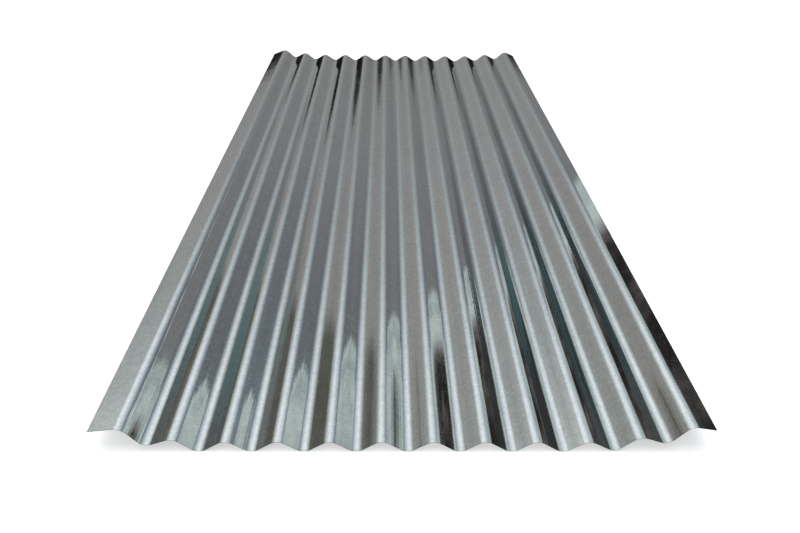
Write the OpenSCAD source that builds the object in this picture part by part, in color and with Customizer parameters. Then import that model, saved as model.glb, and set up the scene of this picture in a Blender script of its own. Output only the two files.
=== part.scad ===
// Corrugated metal sheet: a flat strip of coil rolled into round waves, in millimetres.
// One solid. The waves run along Y and repeat along X. The sheet rests on the valleys
// near its middle, with its lowest line on Z = 0, and its side edges curl up off the ground.

/* [Sheet] */
// Length of the sheet along its waves
sheet_length = 2000; // [300:10:6000]
// Thickness of the coated steel
sheet_thickness = 0.5; // [0.3:0.05:1.2]

/* [Waves] */
// Distance from one crest to the next
wave_pitch = 76; // [70:0.5:100]
// Height from a valley to a crest, on one face
wave_depth = 18; // [12:0.5:20]
// Radius of the bends at the crests and valleys, at the middle of the thickness
bend_radius = 17; // [10:0.5:18]
// Number of crests across the sheet
crest_count = 12; // [4:1:16]

/* [Side edges] */
// Width of the straight strip beyond the first crest's bend
left_lip = 38; // [10:0.5:50]
// Width of the straight strip beyond the last crest's bend
right_lip = 27; // [10:0.5:50]
// Angle by which the left lip curls up
left_curl = 25; // [0:0.5:30]
// Angle by which the right lip curls up
right_curl = 22; // [0:0.5:30]
// Number of strips, counted from the left edge, over which its curl fades out
left_curl_strips = 4; // [2:1:6]
// Number of strips, counted from the right edge, over which its curl fades out
right_curl_strips = 5; // [2:1:6]

/* [Hidden] */
// Flat pieces that stand for each bend
bend_steps = 9;

// Between two bends runs a straight strip, the inner tangent of two equal circles
half_pitch = wave_pitch / 2;
circle_rise = 2 * bend_radius - wave_depth;
strip_width = sqrt(half_pitch ^ 2 + circle_rise ^ 2 - (2 * bend_radius) ^ 2);
strip_angle = atan2(2 * bend_radius, strip_width) - atan2(circle_rise, half_pitch);
last_strip = 2 * crest_count - 1;

function along(angle) = [cos(angle), sin(angle)];
function across(angle) = [-sin(angle), cos(angle)];
function width_of(i) = i == 0 ? left_lip : i == last_strip ? right_lip : strip_width;

// How far each side edge's curl turns a strip, from the strip's count from that edge
function left_turn(count) = left_curl * max(0, 1 - count / left_curl_strips);
function right_turn(count) = right_curl * max(0, 1 - count / right_curl_strips);
// Strips climb to each crest and fall from it, and the curls turn them further near the sides
function heading(i) = (i % 2 == 0 ? strip_angle : -strip_angle)
    + right_turn(last_strip - i) - left_turn(i);

// From one end of a strip to the other, and from its end part of the way round the next bend
function strip_step(i) = width_of(i) * along(heading(i));
function bend_step(i, share) =
    let (turn = (heading(i + 1) - heading(i)) * share)
    2 * bend_radius * sin(abs(turn) / 2) * along(heading(i) + turn / 2);

// Where each strip starts, following the middle of the thickness from left to right
strip_starts = [
    for (i = 0, at = [0, 0];
         i <= last_strip;
         at = at + strip_step(i) + (i < last_strip ? bend_step(i, 1) : [0, 0]), i = i + 1)
    at
];

// Every point of that line with the angle it runs at: both ends of each strip, and its bend
stations = [
    for (i = [0 : last_strip])
        let (strip_end = strip_starts[i] + strip_step(i))
        each [
            [strip_starts[i], heading(i)],
            [strip_end, heading(i)],
            if (i < last_strip)
                for (k = [1 : bend_steps - 1])
                    let (share = k / bend_steps)
                    [strip_end + bend_step(i, share),
                     heading(i) + (heading(i + 1) - heading(i)) * share]
        ]
];

upper_face = [for (s = stations) s[0] + across(s[1]) * sheet_thickness / 2];
lower_face = [for (s = stations) s[0] - across(s[1]) * sheet_thickness / 2];
outline = concat(upper_face, [for (k = [len(lower_face) - 1 : -1 : 0]) lower_face[k]]);
outline_x = [for (p = outline) p[0]];
outline_z = [for (p = outline) p[1]];
middle_x = (min(outline_x) + max(outline_x)) / 2;

module corrugated_sheet() {
    color([0.62, 0.65, 0.67])
        rotate([90, 0, 0])
            linear_extrude(height = sheet_length, center = true)
                translate([-middle_x, -min(outline_z)])
                    polygon(outline);
}

corrugated_sheet();
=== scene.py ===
"""Corrugated metal sheet: its looks, built around its fixed frame, and a small studio to show it in."""

import math

import bpy
from bpy.props import FloatProperty, FloatVectorProperty, IntProperty, PointerProperty
from mathutils import Matrix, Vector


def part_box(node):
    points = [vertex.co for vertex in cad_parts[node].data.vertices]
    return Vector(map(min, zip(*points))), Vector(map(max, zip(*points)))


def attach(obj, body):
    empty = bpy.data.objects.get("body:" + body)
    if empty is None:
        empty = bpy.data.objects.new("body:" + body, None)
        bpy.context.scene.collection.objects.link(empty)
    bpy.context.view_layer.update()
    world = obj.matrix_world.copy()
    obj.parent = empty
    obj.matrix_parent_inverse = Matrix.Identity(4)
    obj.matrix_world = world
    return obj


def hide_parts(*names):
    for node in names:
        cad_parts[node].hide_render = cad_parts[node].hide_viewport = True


bl_info = {
    "name": "Corrugated Metal Sheet",
    "version": (1, 0, 0),
    "blender": (4, 5, 0),
    "location": "3D View > Sidebar > Sheet",
    "description": "A galvanised corrugated sheet with its finish, and a studio floor and light",
    "category": "Object",
}

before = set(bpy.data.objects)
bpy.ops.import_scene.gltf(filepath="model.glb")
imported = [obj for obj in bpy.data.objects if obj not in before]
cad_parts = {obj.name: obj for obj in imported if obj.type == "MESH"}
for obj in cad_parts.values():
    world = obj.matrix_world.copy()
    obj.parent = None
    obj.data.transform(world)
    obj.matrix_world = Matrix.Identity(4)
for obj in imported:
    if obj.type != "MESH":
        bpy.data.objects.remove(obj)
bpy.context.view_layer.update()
NODE = "corrugated_sheet"
node_low, node_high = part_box(NODE)


# ---------------------------------------------------------------- settings

class SheetShape(bpy.types.PropertyGroup):
    """Sizes of the rolled sheet."""

    length: FloatProperty(
        name="Length", description="Length of the sheet along its waves",
        default=node_high.y - node_low.y, min=0.3, max=6.0, unit="LENGTH")
    thickness: FloatProperty(
        name="Thickness", description="Thickness of the coated steel",
        default=0.0005, min=0.0003, max=0.0012, precision=5, unit="LENGTH")
    pitch: FloatProperty(
        name="Wave pitch", description="Distance from one crest to the next",
        default=0.076, min=0.07, max=0.1, precision=4, unit="LENGTH")
    depth: FloatProperty(
        name="Wave depth", description="Height from a valley to a crest on one face",
        default=0.018, min=0.012, max=0.02, precision=4, unit="LENGTH")
    bend_radius: FloatProperty(
        name="Bend radius", description="Radius of the bends at the crests and valleys",
        default=0.017, min=0.01, max=0.018, precision=4, unit="LENGTH")
    crests: IntProperty(
        name="Crests", description="Number of crests across the sheet",
        default=12, min=4, max=16)
    left_lip: FloatProperty(
        name="Left lip", description="Straight strip beyond the first crest's bend",
        default=0.038, min=0.01, max=0.05, precision=4, unit="LENGTH")
    right_lip: FloatProperty(
        name="Right lip", description="Straight strip beyond the last crest's bend",
        default=0.027, min=0.01, max=0.05, precision=4, unit="LENGTH")
    near_left_curl: FloatProperty(
        name="Near left curl", description="Upward curl of the left lip at the near end",
        default=math.radians(25), min=0, max=math.radians(30), subtype="ANGLE")
    near_right_curl: FloatProperty(
        name="Near right curl", description="Upward curl of the right lip at the near end",
        default=math.radians(22), min=0, max=math.radians(30), subtype="ANGLE")
    far_left_curl: FloatProperty(
        name="Far left curl", description="Upward curl of the left lip at the far end",
        default=math.radians(11.5), min=0, max=math.radians(30), subtype="ANGLE")
    far_right_curl: FloatProperty(
        name="Far right curl", description="Upward curl of the right lip at the far end",
        default=math.radians(10), min=0, max=math.radians(30), subtype="ANGLE")
    strip_bow: FloatProperty(
        name="Strip bow", description="How much steeper the middle of each strip is than its ends",
        default=math.radians(2.6), min=0, max=math.radians(8), subtype="ANGLE")
    unevenness: FloatProperty(
        name="Unevenness", description="How far handling has pushed the sheet out of true",
        default=0.0007, min=0, max=0.002, precision=4, unit="LENGTH")
    edge_ripple: FloatProperty(
        name="Edge ripple", description="Height of the small waves along the two side edges",
        default=0.0006, min=0, max=0.002, precision=4, unit="LENGTH")


class SheetFinish(bpy.types.PropertyGroup):
    """Colours and surface of the zinc coating."""

    zinc_light: FloatVectorProperty(
        name="Light zinc", description="Colour of the brightest zinc crystals",
        default=(0.83, 0.845, 0.85), min=0, max=1, size=3, subtype="COLOR")
    zinc_dark: FloatVectorProperty(
        name="Dark zinc", description="Colour of the dullest zinc crystals",
        default=(0.65, 0.67, 0.68), min=0, max=1, size=3, subtype="COLOR")
    cut_steel: FloatVectorProperty(
        name="Cut steel", description="Colour of the bare steel along the cut edges",
        default=(0.16, 0.155, 0.15), min=0, max=1, size=3, subtype="COLOR")
    roughness: FloatProperty(
        name="Roughness", description="Roughness of the clean coating",
        default=0.05, min=0, max=1, subtype="FACTOR")
    crystal_size: FloatProperty(
        name="Crystal size", description="Width of a zinc crystal",
        default=0.007, min=0.001, max=0.05, precision=4, unit="LENGTH")


class StudioSettings(bpy.types.PropertyGroup):
    """Floor, light and camera."""

    floor_size: FloatProperty(
        name="Floor size", description="Width of the studio floor",
        default=60.0, min=5, max=200, unit="LENGTH")
    floor_colour: FloatVectorProperty(
        name="Floor colour", description="Colour of the studio floor",
        default=(0.88, 0.88, 0.88), min=0, max=1, size=3, subtype="COLOR")
    floor_glow: FloatProperty(
        name="Floor glow", description="Light of the floor's own, which keeps its shadows pale",
        default=0.55, min=0, max=1)
    eye_height: FloatProperty(
        name="Eye height", description="Height of the camera above the floor",
        default=0.784, min=0.1, max=5, unit="LENGTH")
    eye_distance: FloatProperty(
        name="Eye distance", description="Distance of the camera in front of the near end",
        default=0.741, min=0.1, max=10, unit="LENGTH")
    eye_offset: FloatProperty(
        name="Eye offset", description="Distance of the camera to the right of the middle",
        default=-0.030, min=-2, max=2, precision=4, unit="LENGTH")
    pitch: FloatProperty(
        name="Pitch", description="Angle by which the camera looks down",
        default=math.radians(32.06), min=0, max=math.radians(90), subtype="ANGLE")
    yaw: FloatProperty(
        name="Yaw", description="Angle by which the camera turns to the right",
        default=math.radians(1.46), min=-1, max=1, subtype="ANGLE")
    roll: FloatProperty(
        name="Roll", description="Angle by which the camera leans",
        default=math.radians(1.12), min=-1, max=1, subtype="ANGLE")
    lens: FloatProperty(
        name="Lens", description="Focal length on a 36 mm wide sensor",
        default=32.1, min=10, max=200)


# ---------------------------------------------------------------- sums in node trees

class Num:
    """A number in a node tree that takes part in ordinary sums."""

    def __init__(self, tree, socket):
        self.tree = tree
        self.socket = socket

    def math(self, operation, *others):
        made = self.tree.nodes.new("ShaderNodeMath")
        made.operation = operation
        for place, value in zip(made.inputs, (self, *others)):
            feed(self.tree, value, place)
        return Num(self.tree, made.outputs[0])

    def __add__(self, other):
        return self.math("ADD", other)

    def __sub__(self, other):
        return self.math("SUBTRACT", other)

    def __rsub__(self, other):
        return self.math("MULTIPLY_ADD", -1.0, other)

    def __mul__(self, other):
        return self.math("MULTIPLY", other)

    def __truediv__(self, other):
        return self.math("DIVIDE", other)

    __radd__ = __add__


def feed(tree, value, place):
    """Links a number or socket to an input, or sets the input to a constant."""
    if isinstance(value, Num):
        tree.links.new(value.socket, place)
    elif isinstance(value, bpy.types.NodeSocket):
        tree.links.new(value, place)
    else:
        place.default_value = value


def node(tree, kind, settings=None, **inputs):
    """Adds a node, sets its options and feeds its inputs, whose names are given with underscores."""
    made = tree.nodes.new(kind)
    for name, value in (settings or {}).items():
        setattr(made, name, value)
    for name, value in inputs.items():
        places = [p for p in made.inputs if p.enabled and p.name == name.replace("_", " ")]
        feed(tree, value, places[0])
    return made


def blend(a, b, share):
    """a where the share is 0, b where it is 1, and evenly between them."""
    return a + (b - a) * share


def rise_between(value, low, high):
    """0 below low, 1 above high, and a smooth rise between them."""
    made = node(value.tree, "ShaderNodeMapRange", {"interpolation_type": "SMOOTHSTEP"},
                Value=value, From_Min=low, From_Max=high)
    return Num(value.tree, made.outputs[0])


def used_output(made):
    """A node's output for the data type that it is set to."""
    return next(output for output in made.outputs if output.enabled)


def vector_math(tree, operation, a, b):
    made = node(tree, "ShaderNodeVectorMath", {"operation": operation})
    feed(tree, a, made.inputs[0])
    feed(tree, b, made.inputs[1])
    return used_output(made)


def mix_colour(tree, share, a, b, blend_type="MIX"):
    """Mixes or multiplies two colours, each a socket or three numbers."""
    a, b = ((*c, 1) if isinstance(c, tuple) else c for c in (a, b))
    return used_output(node(tree, "ShaderNodeMix", {"data_type": "RGBA", "blend_type": blend_type},
                            Factor=share, A=a, B=b))


def mix_shaders(tree, share, first, second):
    """Mixes two shader nodes: the first where the share is 0, the second where it is 1."""
    mixed = tree.nodes.new("ShaderNodeMixShader")
    for place, value in zip(mixed.inputs, (share, first.outputs[0], second.outputs[0])):
        feed(tree, value, place)
    return mixed.outputs[0]


def new_tree(name, kind, inputs, outputs):
    """A node tree with named inputs, as (name, socket type, default), and named outputs."""
    tree = bpy.data.node_groups.new(name, kind)
    for label, socket_type, default in inputs:
        socket = tree.interface.new_socket(name=label, in_out="INPUT", socket_type=socket_type)
        if default is not None:
            socket.default_value = default
    for label, socket_type in outputs:
        tree.interface.new_socket(name=label, in_out="OUTPUT", socket_type=socket_type)
    start = tree.nodes.new("NodeGroupInput")
    end = tree.nodes.new("NodeGroupOutput")
    return tree, start, end


# ---------------------------------------------------------------- the sheet's shape

STRIP_STEPS = 5
BEND_STEPS = 12
LENGTH_STEPS = 100
SHARP_ANGLE = math.radians(50)
SAME_POINT = 1e-6
NOISE_SEED = 3.0

# The side curls reach this many strips in at the near end, and one more at the far end
LEFT_CURL_STRIPS = 4.0
RIGHT_CURL_STRIPS = 5.0

# How closely the dents and the ripples of the side edges follow each other, per metre
DENTS_ACROSS = 5.0
DENTS_ALONG = 1.4
RIPPLES_ALONG = 14.0


def sheet_sizes(shape):
    """The sheet's sizes, by the names that the sidebar gives them."""
    return {shape.bl_rna.properties[key].name: getattr(shape, key)
            for key in type(shape).__annotations__}


def sheet_tree(sizes):
    """Geometry Nodes that roll a flat grid into waves, curl its sides and give it its thickness."""
    size_inputs = [(name, "NodeSocketInt" if isinstance(size, int) else "NodeSocketFloat", size)
                   for name, size in sizes.items()]
    tree, start, end = new_tree(
        "corrugated_sheet_shape", "GeometryNodeTree",
        [*size_inputs, ("Seed", "NodeSocketFloat", NOISE_SEED), ("Finish", "NodeSocketMaterial", None)],
        [("Geometry", "NodeSocketGeometry")])
    tree.is_modifier = True
    given = {s.name: Num(tree, s) for s in start.outputs if s.name}

    # A straight strip between two bends is the inner tangent of two equal circles
    half_pitch = given["Wave pitch"] / 2
    twice_radius = given["Bend radius"] * 2
    circle_rise = twice_radius - given["Wave depth"]
    strip_width = (half_pitch * half_pitch + circle_rise * circle_rise
                   - twice_radius * twice_radius).math("SQRT")
    strip_angle = (twice_radius.math("ARCTAN2", strip_width)
                   - circle_rise.math("ARCTAN2", half_pitch))
    last_strip = given["Crests"] * 2 - 1

    # The flat grid: its points run along the sheet first, then across
    wave_steps = STRIP_STEPS + BEND_STEPS
    across_steps = last_strip * wave_steps + STRIP_STEPS
    row_points = LENGTH_STEPS + 1
    grid = node(tree, "GeometryNodeMeshGrid", Size_X=1.0, Size_Y=1.0,
                Vertices_X=across_steps + 1, Vertices_Y=row_points)
    index = Num(tree, tree.nodes.new("GeometryNodeInputIndex").outputs[0])
    column = ((index + 0.5) / row_points).math("FLOOR")
    row = index - column * row_points
    share_along = row / LENGTH_STEPS
    strip = ((column + 0.5) / wave_steps).math("FLOOR")
    step = column - strip * wave_steps

    # Every strip's heading: up to a crest or down from it, turned further by the side curls
    left_curl = blend(given["Near left curl"], given["Far left curl"], share_along)
    right_curl = blend(given["Near right curl"], given["Far right curl"], share_along)
    left_strips = LEFT_CURL_STRIPS + share_along
    right_strips = RIGHT_CURL_STRIPS + share_along

    def climb(i):
        """1 for a strip that climbs to a crest, and -1 for one that goes down from it."""
        return 1.0 - i.math("MODULO", 2.0) * 2.0

    def heading(i):
        left_turn = left_curl * (1.0 - i / left_strips).math("MAXIMUM", 0.0)
        right_turn = right_curl * (1.0 - (last_strip - i) / right_strips).math("MAXIMUM", 0.0)
        return strip_angle * climb(i) + right_turn - left_turn

    here = heading(strip)
    turn = heading(strip + 1.0) - here
    in_bend = step.math("GREATER_THAN", STRIP_STEPS - 0.5)
    share_round = (step - (STRIP_STEPS - 0.5)) / BEND_STEPS
    is_first = strip.math("LESS_THAN", 0.5)
    is_last = strip.math("GREATER_THAN", last_strip - 0.5)

    # A strip between two bends is bowed: its middle is steeper, and its ends gentler by as much in all
    between_bends = (1.0 - in_bend) * (1.0 - is_first) * (1.0 - is_last)
    middle_step = (STRIP_STEPS - 1) / 2
    from_middle = (step - middle_step).math("ABSOLUTE") / middle_step
    mean_from_middle = (middle_step + 1) / STRIP_STEPS
    bow = given["Strip bow"] * climb(strip) * (mean_from_middle - from_middle) * between_bends

    # A bend turns evenly from one strip's heading to the next, in short chords of its circle
    angle = here + bow + turn * share_round * in_bend
    width = blend(blend(strip_width, given["Left lip"], is_first), given["Right lip"], is_last)
    chord = twice_radius * (turn.math("ABSOLUTE") / (2 * BEND_STEPS)).math("SINE")
    stride = blend(width / STRIP_STEPS, chord, in_bend)

    # Adding up the strides gives the section, and the middle valley holds it in place
    stride_vector = node(tree, "ShaderNodeCombineXYZ", X=stride * angle.math("COSINE"),
                         Y=stride, Z=stride * angle.math("SINE"))
    summed = node(tree, "GeometryNodeAccumulateField", {"data_type": "FLOAT_VECTOR"},
                  Value=stride_vector.outputs[0], Group_ID=row)
    running = [s for s in summed.outputs if s.enabled and s.name == "Trailing"][0]

    def section_at(point):
        found = node(tree, "GeometryNodeFieldAtIndex", {"data_type": "FLOAT_VECTOR"},
                     Index=point, Value=running)
        place = [s for s in found.outputs if s.enabled][0]
        parts = node(tree, "ShaderNodeSeparateXYZ", Vector=place)
        return [Num(tree, s) for s in parts.outputs]

    middle_column = ((given["Crests"] / 2).math("FLOOR") * 2 - 1) * wave_steps + (
        STRIP_STEPS + BEND_STEPS / 2)
    here_x, here_across, here_z = section_at(index)
    middle_x, _, middle_z = section_at(middle_column * row_points + row)
    near_middle_x = section_at(middle_column * row_points)[0]
    near_left_x = section_at(0)[0]
    near_right_x = section_at(across_steps * row_points)[0]
    x = here_x - middle_x + near_middle_x - (near_left_x + near_right_x) / 2
    y = (share_along - 0.5) * given["Length"]
    z = here_z - middle_z

    # Handling leaves the sheet slightly out of true, with ripples towards its side edges. The left
    # edge's ripples carry on, turned over, into the first bend.
    dent_place = node(tree, "ShaderNodeCombineXYZ",
                      X=x * DENTS_ACROSS, Y=y * DENTS_ALONG, Z=given["Seed"])
    dents = node(tree, "ShaderNodeTexNoise", {"noise_dimensions": "3D"},
                 Vector=dent_place.outputs[0], Scale=1.0, Detail=2.0)
    ripple_place = node(tree, "ShaderNodeCombineXYZ", X=strip, Y=y * RIPPLES_ALONG, Z=given["Seed"])
    ripples = node(tree, "ShaderNodeTexNoise", {"noise_dimensions": "3D"},
                   Vector=ripple_place.outputs[0], Scale=1.0, Detail=2.0)
    nearness = is_first * (1.0 - step / STRIP_STEPS) + is_last * (step / STRIP_STEPS)
    lift = (Num(tree, dents.outputs[0]) * given["Unevenness"]
            + Num(tree, ripples.outputs[0]) * given["Edge ripple"] * nearness)
    rolled_place = node(tree, "ShaderNodeCombineXYZ", X=x, Y=y, Z=z + lift)
    placed = node(tree, "GeometryNodeSetPosition", Geometry=grid.outputs[0],
                  Position=rolled_place.outputs[0])

    # Distances over the rolled metal for the finish to follow, and 1 on crests, -1 in valleys
    ridge = (share_round * math.pi).math("SINE") * climb(strip) * in_bend
    over_metal = node(tree, "ShaderNodeCombineXYZ", X=here_across, Y=y, Z=ridge)
    marked = node(tree, "GeometryNodeStoreNamedAttribute",
                  {"data_type": "FLOAT_VECTOR", "domain": "POINT"},
                  Geometry=placed.outputs[0], Name="rolled", Value=over_metal.outputs[0])

    # Thickness: the upper face is pushed up off the lower one, which is turned to face down
    upper = node(tree, "GeometryNodeExtrudeMesh", {"mode": "FACES"}, Mesh=marked.outputs[0],
                 Offset_Scale=given["Thickness"], Individual=False)
    rim = upper.outputs["Side"]
    rim_marked = node(tree, "GeometryNodeStoreNamedAttribute",
                      {"data_type": "FLOAT", "domain": "FACE"},
                      Geometry=upper.outputs["Mesh"], Name="cut_edge", Value=rim)
    lower = node(tree, "GeometryNodeFlipFaces", Mesh=marked.outputs[0])
    joined = tree.nodes.new("GeometryNodeJoinGeometry")
    tree.links.new(rim_marked.outputs[0], joined.inputs[0])
    tree.links.new(lower.outputs[0], joined.inputs[0])
    closed = node(tree, "GeometryNodeMergeByDistance", Geometry=joined.outputs[0],
                  Distance=SAME_POINT)
    fold = Num(tree, node(tree, "GeometryNodeInputMeshEdgeAngle").outputs["Unsigned Angle"])
    crisp = node(tree, "GeometryNodeSetShadeSmooth", {"domain": "EDGE"},
                 Geometry=closed.outputs[0], Shade_Smooth=False,
                 Selection=fold.math("GREATER_THAN", SHARP_ANGLE))
    whole_sheet = node(tree, "GeometryNodeRealizeInstances", Geometry=crisp.outputs[0])
    coated = node(tree, "GeometryNodeSetMaterial", Geometry=whole_sheet.outputs[0],
                  Material=given["Finish"])
    tree.links.new(coated.outputs[0], end.inputs[0])
    return tree


def grow(name, tree, values):
    """Runs a Geometry Nodes tree once and returns its result as a plain mesh object."""
    scene = bpy.context.scene
    seed_object = bpy.data.objects.new(name + "_seed", bpy.data.meshes.new(name + "_seed"))
    scene.collection.objects.link(seed_object)
    modifier = seed_object.modifiers.new("shape", "NODES")
    modifier.node_group = tree
    for item in tree.interface.items_tree:
        if item.item_type == "SOCKET" and item.in_out == "INPUT":
            modifier[item.identifier] = values[item.name]
    depsgraph = bpy.context.evaluated_depsgraph_get()
    mesh = bpy.data.meshes.new_from_object(seed_object.evaluated_get(depsgraph), depsgraph=depsgraph)
    bpy.data.objects.remove(seed_object)
    if not mesh.polygons:
        raise RuntimeError(f"{name} came out empty")
    mesh.name = name
    piece = bpy.data.objects.new(name, mesh)
    scene.collection.objects.link(piece)
    return piece


# ---------------------------------------------------------------- finishes

def new_material(name):
    """A new material, with its node tree and its Principled shader."""
    material = bpy.data.materials.new(name)
    material.use_nodes = True
    tree = material.node_tree
    shader = next(n for n in tree.nodes if n.type == "BSDF_PRINCIPLED")
    return material, tree, shader


def patch_noise(tree, place, across, along, detail=2.0, seed=0.0):
    """Noise whose patches on the rolled metal are about this wide and this long."""
    scaled = node(tree, "ShaderNodeMapping", Vector=place, Location=(seed, seed, 0.0),
                  Scale=(1 / across, 1 / along, 0.0))
    noise = node(tree, "ShaderNodeTexNoise", {"noise_dimensions": "3D"},
                 Vector=scaled.outputs[0], Scale=1.0, Detail=detail)
    return Num(tree, noise.outputs[0])


def zinc_crystals():
    """Crystals that froze in the coating, each with its own tone and its own slight tilt."""
    tree, start, end = new_tree(
        "zinc_crystals", "ShaderNodeTree",
        [("Place", "NodeSocketVector", None), ("Size", "NodeSocketFloat", 0.007)],
        [("Tone", "NodeSocketFloat"), ("Height", "NodeSocketFloat")])
    size = Num(tree, start.outputs["Size"])

    # The third number of a place isn't a distance, so it is left out
    flat = vector_math(tree, "MULTIPLY", start.outputs["Place"], (1, 1, 0))
    in_crystals = node(tree, "ShaderNodeVectorMath", {"operation": "SCALE"},
                       Vector=flat, Scale=size.math("POWER", -1.0))
    push = node(tree, "ShaderNodeTexNoise", Vector=in_crystals.outputs[0], Scale=0.7, Detail=2.0)
    pushed = used_output(node(tree, "ShaderNodeMix", {"data_type": "VECTOR"}, Factor=0.3,
                              A=in_crystals.outputs[0], B=push.outputs["Color"]))
    cells = node(tree, "ShaderNodeTexVoronoi", Vector=pushed, Scale=1.0, Randomness=1.0)
    tilt = vector_math(tree, "SUBTRACT", cells.outputs["Color"], (0.5, 0.5, 0.5))
    from_middle = vector_math(tree, "SUBTRACT", pushed, cells.outputs["Position"])
    rise = vector_math(tree, "DOT_PRODUCT", tilt, from_middle)
    tone = node(tree, "ShaderNodeSeparateXYZ", Vector=cells.outputs["Color"])
    feed(tree, tone.outputs[2], end.inputs["Tone"])
    feed(tree, Num(tree, rise) * size, end.inputs["Height"])
    return tree


def mill_marks():
    """Fine lines that the rolls leave along the sheet, and the coating's fine grain."""
    tree, start, end = new_tree(
        "mill_marks", "ShaderNodeTree", [("Place", "NodeSocketVector", None)],
        [("Lines", "NodeSocketFloat"), ("Grain", "NodeSocketFloat")])
    place = start.outputs["Place"]
    broad = patch_noise(tree, place, across=0.004, along=0.9, detail=3.0)
    narrow = patch_noise(tree, place, across=0.0012, along=0.25, seed=5.0)
    feed(tree, blend(broad, narrow, 0.5), end.inputs["Lines"])
    fine = patch_noise(tree, place, across=0.0022, along=0.0022, detail=3.0, seed=9.0)
    coarse = patch_noise(tree, place, across=0.0045, along=0.006, seed=13.0)
    feed(tree, blend(fine, coarse, 0.5), end.inputs["Grain"])
    return tree


def handling_wear():
    """Masks for smudges from hands and gloves, hairline scuffs and rubbed crests."""
    tree, start, end = new_tree(
        "handling_wear", "ShaderNodeTree", [("Place", "NodeSocketVector", None)],
        [("Smudges", "NodeSocketFloat"), ("Scuffs", "NodeSocketFloat"), ("Rubbing", "NodeSocketFloat")])
    place = start.outputs["Place"]
    touched = patch_noise(tree, place, across=0.12, along=0.2, detail=4.0, seed=2.0)
    smudges = rise_between(touched, 0.45, 0.72)

    scuff_slant = math.radians(7)
    turned = node(tree, "ShaderNodeMapping", Vector=place, Rotation=(0, 0, scuff_slant))
    hairlines = patch_noise(tree, turned.outputs[0], across=0.0013, along=0.12, detail=1.0, seed=7.0)
    scuffed = patch_noise(tree, place, across=0.06, along=0.15, seed=4.0)
    scuffs = rise_between(hairlines, 0.70, 0.76) * rise_between(scuffed, 0.5, 0.6)

    ridge = Num(tree, node(tree, "ShaderNodeSeparateXYZ", Vector=place).outputs[2])
    streaks = patch_noise(tree, place, across=0.002, along=0.06, detail=3.0, seed=11.0)
    rubbing = rise_between(ridge, 0.75, 1.0) * rise_between(streaks, 0.5, 0.62)
    for name, mask in (("Smudges", smudges), ("Scuffs", scuffs), ("Rubbing", rubbing)):
        feed(tree, mask, end.inputs[name])
    return tree


def place_group(tree, group, **inputs):
    """Places a node group in a tree and returns its outputs by name."""
    placed = tree.nodes.new("ShaderNodeGroup")
    placed.node_tree = group
    for name, value in inputs.items():
        feed(tree, value, placed.inputs[name])
    return {output.name: Num(tree, output) for output in placed.outputs}


# How far each mark moves the colour from dark zinc, 0, towards light zinc, 1
TONES = {"crystals": 0.4, "grain": 3.4, "lines": 1.2, "scuffs": 0.4, "rubbing": 0.3, "smudges": -0.18}
# How much rougher each mark makes the coating
DULLING = {"crystals": 0.03, "grain": 0.05, "smudges": 0.05, "scuffs": 0.12, "rubbing": -0.03}
CUT_ROUGHNESS = 0.45
# The crystals' slope, and the heights of the mill lines and the grain in metres
CRYSTAL_SLOPE = 0.006
LINE_HEIGHT = 0.000012
GRAIN_HEIGHT = 0.00001


def galvanised_steel(finish):
    """Hot-dipped zinc with soft crystals, mill lines and light wear, and bare steel at the cut edges."""
    material, tree, shader = new_material("galvanised_steel")
    place = node(tree, "ShaderNodeAttribute", {"attribute_name": "rolled"}).outputs["Vector"]
    cut = Num(tree, node(tree, "ShaderNodeAttribute", {"attribute_name": "cut_edge"}).outputs["Fac"])
    crystals = place_group(tree, zinc_crystals(), Place=place, Size=finish.crystal_size)
    marks = place_group(tree, mill_marks(), Place=place)
    wear = place_group(tree, handling_wear(), Place=place)

    shown = {"crystals": crystals["Tone"] - 0.5, "grain": marks["Grain"] - 0.5,
             "lines": marks["Lines"] - 0.5, "scuffs": wear["Scuffs"], "rubbing": wear["Rubbing"],
             "smudges": wear["Smudges"]}

    tone = 0.5 + sum(shown[name] * share for name, share in TONES.items())
    zinc = mix_colour(tree, tone.math("MAXIMUM", 0.0).math("MINIMUM", 1.0),
                      tuple(finish.zinc_dark), tuple(finish.zinc_light))
    colour = mix_colour(tree, cut, zinc, tuple(finish.cut_steel))
    feed(tree, colour, shader.inputs["Base Color"])

    zinc_roughness = finish.roughness + sum(shown[name] * share for name, share in DULLING.items())
    feed(tree, blend(zinc_roughness, CUT_ROUGHNESS, cut), shader.inputs["Roughness"])
    shader.inputs["Metallic"].default_value = 1.0

    height = (crystals["Height"] * CRYSTAL_SLOPE + shown["lines"] * LINE_HEIGHT
              + shown["grain"] * GRAIN_HEIGHT)
    relief = node(tree, "ShaderNodeBump", Strength=1.0, Distance=1.0, Height=height)
    feed(tree, relief.outputs[0], shader.inputs["Normal"])
    return material


# ---------------------------------------------------------------- studio

def grey(value):
    return (value, value, value)


def ramp(value, stops):
    """A colour that changes evenly from stop to stop. Each stop is a value and its colour."""
    first, last = stops[0][0], stops[-1][0]
    made = node(value.tree, "ShaderNodeValToRGB", Fac=(value - first) / (last - first))
    elements = made.color_ramp.elements
    while len(elements) < len(stops):
        elements.new(1.0)
    for element, (position, colour) in zip(elements, stops):
        element.position = (position - first) / (last - first)
        element.color = (*colour, 1)
    return made.outputs[0]


def second_mirroring(tree):
    """1 for light that comes by way of a neighbouring wave first, and 0 for what is mirrored once."""
    depth = Num(tree, node(tree, "ShaderNodeLightPath").outputs["Glossy Depth"])
    return depth.math("GREATER_THAN", 1.5)


# A low dark doorway ahead, beyond the far end, by its place among the directions
DOOR_MIDDLE = -0.03
DOOR_HALF_WIDTH = 0.38
DOOR_HEIGHT = 0.16
DOOR_DARK = grey(0.008)


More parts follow.
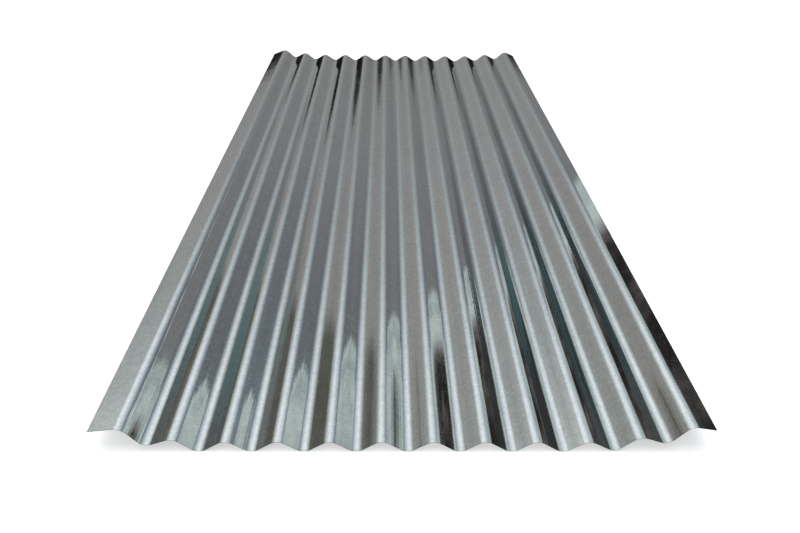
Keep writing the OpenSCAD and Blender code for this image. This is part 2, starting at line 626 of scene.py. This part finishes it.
def mirrored_room(tree, side, ahead, up):
    """What the metal mirrors at once: brightest high up, fading to the right, with a doorway ahead."""
    by_height = ramp(up, [
        (-1.0, grey(0.20)), (-0.1, grey(0.30)), (0.12, grey(0.33)), (0.20, grey(0.36)),
        (0.28, (0.363, 0.360, 0.356)), (0.36, (0.360, 0.376, 0.386)), (0.44, (0.41, 0.445, 0.465)),
        (0.52, (0.54, 0.585, 0.61)), (0.60, (0.74, 0.80, 0.83)), (0.68, (0.94, 1.01, 1.04)),
        (0.76, (1.02, 1.10, 1.13)), (0.88, grey(0.85)), (1.0, grey(0.62))])
    by_side = ramp(side, [
        (-1.0, (0.70, 0.70, 0.64)), (-0.64, (0.88, 0.88, 0.81)), (-0.48, (0.95, 0.94, 0.88)),
        (-0.32, (1.0, 1.0, 0.98)), (-0.16, grey(0.99)), (0.0, grey(0.87)), (0.16, (0.73, 0.735, 0.74)),
        (0.24, (0.64, 0.65, 0.665)), (0.32, (0.56, 0.58, 0.60)), (0.40, (0.48, 0.50, 0.53)),
        (0.48, (0.42, 0.45, 0.48)), (1.0, (0.38, 0.41, 0.44))])

    # Towards the horizon the light from the sides evens out
    near_horizon = 1.0 - rise_between(up, 0.15, 0.38)
    evened = mix_colour(tree, near_horizon * 0.6, by_side, grey(0.74))
    room = mix_colour(tree, 1.0, by_height, evened, "MULTIPLY")

    from_door = (((side - DOOR_MIDDLE) / DOOR_HALF_WIDTH).math("POWER", 2.0)
                 + (up / DOOR_HEIGHT).math("POWER", 2.0))
    in_door = (1.0 - rise_between(from_door, 0.8, 1.2)) * ahead.math("GREATER_THAN", 0.0)
    return mix_colour(tree, in_door, room, DOOR_DARK)


def mirrored_twice(tree, side, up):
    """What the metal mirrors by way of a neighbouring wave: dimmer, and teal at middle heights."""
    by_height = ramp(up, [
        (0.0, grey(0.30)), (0.15, grey(0.36)), (0.28, grey(0.33)), (0.36, grey(0.26)),
        (0.55, grey(0.24)), (0.65, grey(0.19)), (0.76, grey(0.14)), (1.0, grey(0.12))])
    by_side = ramp(side, [
        (-1.0, grey(0.8)), (-0.1, grey(1.0)), (0.1, grey(0.66)), (0.36, grey(0.62)),
        (0.43, grey(0.22)), (1.0, grey(0.22))])
    room = mix_colour(tree, 1.0, by_height, by_side, "MULTIPLY")

    left_teal = (0.70, 1.02, 1.04)
    right_teal = (0.46, 1.02, 1.12)
    teal = mix_colour(tree, rise_between(side, -0.1, 0.1), left_teal, right_teal)
    teal_share = (rise_between(up, 0.40, 0.52) * (1.0 - rise_between(up, 0.62, 0.74))
                  * (1.0 - rise_between(side.math("ABSOLUTE"), 0.36, 0.44)))
    tint = mix_colour(tree, teal_share, grey(1.0), teal)
    room = mix_colour(tree, 1.0, room, tint, "MULTIPLY")

    # Dark streaks that run along the waves break up the teal on the right
    streak_place = node(tree, "ShaderNodeCombineXYZ", X=side * 17.0, Y=up * 2.5, Z=0.0)
    streaks = Num(tree, node(tree, "ShaderNodeTexNoise", Vector=streak_place.outputs[0],
                             Scale=1.0, Detail=1.0).outputs[0])
    in_streak = rise_between(streaks, 0.44, 0.52) * rise_between(side, 0.0, 0.1) * teal_share
    streak_tint = (0.22, 0.19, 0.18)
    dark = mix_colour(tree, 1.0, by_height, streak_tint, "MULTIPLY")
    return mix_colour(tree, in_streak, room, dark)


def studio_light(scene):
    """The soft light all round. The camera sees an even pale backdrop, and the metal mirrors a room.

    side runs from -1 on the left to 1 on the right, ahead is above 0 beyond the far end, and up
    runs from 0 at the horizon to 1 overhead.
    """
    world = bpy.data.worlds.new("studio_light")
    scene.world = world
    world.use_nodes = True
    tree = world.node_tree
    tree.nodes.clear()
    way = node(tree, "ShaderNodeTexCoord").outputs["Generated"]
    parts = node(tree, "ShaderNodeSeparateXYZ", Vector=way)
    side, ahead, up = (Num(tree, output) for output in parts.outputs)
    room = mix_colour(tree, second_mirroring(tree), mirrored_room(tree, side, ahead, up),
                      mirrored_twice(tree, side, up))

    mirrored = node(tree, "ShaderNodeBackground", Color=room, Strength=1.0)
    backdrop = node(tree, "ShaderNodeBackground", Color=(*grey(0.9), 1), Strength=1.0)
    seen_directly = node(tree, "ShaderNodeLightPath").outputs["Is Camera Ray"]
    both = mix_shaders(tree, seen_directly, mirrored, backdrop)
    out = tree.nodes.new("ShaderNodeOutputWorld")
    feed(tree, both, out.inputs["Surface"])


BOARD_CLOUDS_PER_METRE = 5.0
BOARD_SEEN_TWICE = grey(0.045)


def reflector_board(scene, name, x, far_end, top, soft, light, shade):
    """An upright board beside the sheet that shows only in the metal, with a soft far end and top."""
    near_end = node_low.y * 3
    mesh = bpy.data.meshes.new(name)
    mesh.from_pydata([(x, near_end, 0), (x, far_end, 0), (x, far_end, top), (x, near_end, top)],
                     [], [(0, 1, 2, 3)])
    board = bpy.data.objects.new(name, mesh)
    board.visible_camera = False
    board.visible_diffuse = False
    board.visible_shadow = False
    scene.collection.objects.link(board)

    material = bpy.data.materials.new(name)
    material.use_nodes = True
    tree = material.node_tree
    tree.nodes.clear()
    place = node(tree, "ShaderNodeTexCoord").outputs["Object"]
    parts = node(tree, "ShaderNodeSeparateXYZ", Vector=place)
    _, along, height = (Num(tree, output) for output in parts.outputs)
    clouds = node(tree, "ShaderNodeTexNoise", Vector=place, Scale=BOARD_CLOUDS_PER_METRE, Detail=3.0)
    cloudy = rise_between(Num(tree, clouds.outputs[0]), 0.42, 0.66)
    colour = mix_colour(tree, cloudy, shade, light)
    colour = mix_colour(tree, second_mirroring(tree), colour, BOARD_SEEN_TWICE)
    solid = ((1.0 - rise_between(along, far_end - soft, far_end))
             * (1.0 - rise_between(height, top - soft, top)))
    clear = node(tree, "ShaderNodeBsdfTransparent")
    glow = node(tree, "ShaderNodeEmission", Color=colour)
    out = tree.nodes.new("ShaderNodeOutputMaterial")
    feed(tree, mix_shaders(tree, solid, clear, glow), out.inputs["Surface"])
    mesh.materials.append(material)


def studio_boards(scene):
    """On the right a pale board with a low dark one before it, and on the left a low olive one."""
    reflector_board(scene, "pale_board", x=0.70, far_end=0.42, top=0.85, soft=0.08,
                    light=(0.52, 0.60, 0.58), shade=(0.34, 0.41, 0.40))
    reflector_board(scene, "dark_board", x=0.68, far_end=0.12, top=0.36, soft=0.14,
                    light=(0.135, 0.120, 0.113), shade=(0.022, 0.019, 0.018))
    reflector_board(scene, "olive_board", x=-1.20, far_end=0.95, top=0.72, soft=0.30,
                    light=(0.125, 0.125, 0.105), shade=(0.105, 0.107, 0.088))


def overhead_lamp(scene):
    """A soft light from above that evens out the floor and isn't mirrored in the metal."""
    lamp = bpy.data.lights.new("overhead_lamp", "SUN")
    lamp.energy = 1.0
    lamp.angle = math.radians(50)
    holder = bpy.data.objects.new("overhead_lamp", lamp)
    holder.visible_glossy = False
    scene.collection.objects.link(holder)


def studio_floor(scene, studio):
    """A pale floor. What the metal mirrors of it is darker, like the ground outside the light."""
    half = studio.floor_size / 2
    mesh = bpy.data.meshes.new("studio_floor")
    mesh.from_pydata([(-half, -half, 0), (half, -half, 0), (half, half, 0), (-half, half, 0)],
                     [], [(0, 1, 2, 3)])
    floor = bpy.data.objects.new("studio_floor", mesh)
    scene.collection.objects.link(floor)
    material, tree, shader = new_material("studio_floor")
    shader.inputs["Roughness"].default_value = 0.9
    shader.inputs["Specular IOR Level"].default_value = 0.1
    path = node(tree, "ShaderNodeLightPath")
    mirrored_ground = (0.06, 0.055, 0.05)
    colour = mix_colour(tree, path.outputs["Is Glossy Ray"], tuple(studio.floor_colour),
                        mirrored_ground)
    feed(tree, colour, shader.inputs["Base Color"])
    glow = mix_colour(tree, path.outputs["Is Camera Ray"], grey(0.0), grey(1.0))
    feed(tree, glow, shader.inputs["Emission Color"])
    shader.inputs["Emission Strength"].default_value = studio.floor_glow
    mesh.materials.append(material)


def studio_camera(scene, studio):
    """The camera stands in front of the near end and looks down along the sheet."""
    camera = bpy.data.objects.new("studio_camera", bpy.data.cameras.new("studio_camera"))
    camera.data.sensor_width = 36.0
    camera.data.lens = studio.lens
    camera.data.clip_start = 0.01
    turn = (Matrix.Rotation(-studio.yaw, 4, "Z")
            @ Matrix.Rotation(math.pi / 2 - studio.pitch, 4, "X")
            @ Matrix.Rotation(studio.roll, 4, "Z"))
    place = Matrix.Translation((studio.eye_offset, node_low.y - studio.eye_distance,
                                studio.eye_height))
    camera.matrix_world = place @ turn
    scene.collection.objects.link(camera)
    scene.camera = camera


# ---------------------------------------------------------------- operators

class SHEET_OT_add_sheet(bpy.types.Operator):
    """Add the corrugated sheet in place of its plain frame"""

    bl_idname = "sheet.add_corrugated_sheet"
    bl_label = "Corrugated Sheet"

    def execute(self, context):
        sizes = sheet_sizes(context.scene.sheet_shape)
        finish = galvanised_steel(context.scene.sheet_finish)
        piece = grow("galvanised_sheet", sheet_tree(sizes),
                     {**sizes, "Seed": NOISE_SEED, "Finish": finish})
        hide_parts(NODE)
        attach(piece, "root")
        return {"FINISHED"}


class SHEET_OT_add_studio(bpy.types.Operator):
    """Add the floor, the light and the camera"""

    bl_idname = "sheet.add_studio"
    bl_label = "Studio"

    def execute(self, context):
        scene = context.scene
        studio = scene.sheet_studio
        studio_camera(scene, studio)
        studio_light(scene)
        studio_boards(scene)
        overhead_lamp(scene)
        studio_floor(scene, studio)
        scene.view_settings.view_transform = "Standard"
        return {"FINISHED"}


class SHEET_PT_sidebar(bpy.types.Panel):
    """Lists the sheet's sizes and finish, and the studio"""

    bl_idname = "SHEET_PT_sidebar"
    bl_label = "Corrugated Sheet"
    bl_space_type = "VIEW_3D"
    bl_region_type = "UI"
    bl_category = "Sheet"

    def draw(self, context):
        for name in ("sheet_shape", "sheet_finish", "sheet_studio"):
            group = getattr(context.scene, name)
            box = self.layout.box()
            for key in type(group).__annotations__:
                box.prop(group, key)
        self.layout.operator(SHEET_OT_add_sheet.bl_idname)
        self.layout.operator(SHEET_OT_add_studio.bl_idname)


CLASSES = (SheetShape, SheetFinish, StudioSettings, SHEET_OT_add_sheet, SHEET_OT_add_studio,
           SHEET_PT_sidebar)


def register():
    for cls in CLASSES:
        bpy.utils.register_class(cls)
    bpy.types.Scene.sheet_shape = PointerProperty(type=SheetShape)
    bpy.types.Scene.sheet_finish = PointerProperty(type=SheetFinish)
    bpy.types.Scene.sheet_studio = PointerProperty(type=StudioSettings)


def unregister():
    for name in ("sheet_shape", "sheet_finish", "sheet_studio"):
        delattr(bpy.types.Scene, name)
    for cls in reversed(CLASSES):
        bpy.utils.unregister_class(cls)


def main():
    register()
    bpy.ops.sheet.add_corrugated_sheet()
    bpy.ops.sheet.add_studio()


if __name__ == "__main__":
    main()
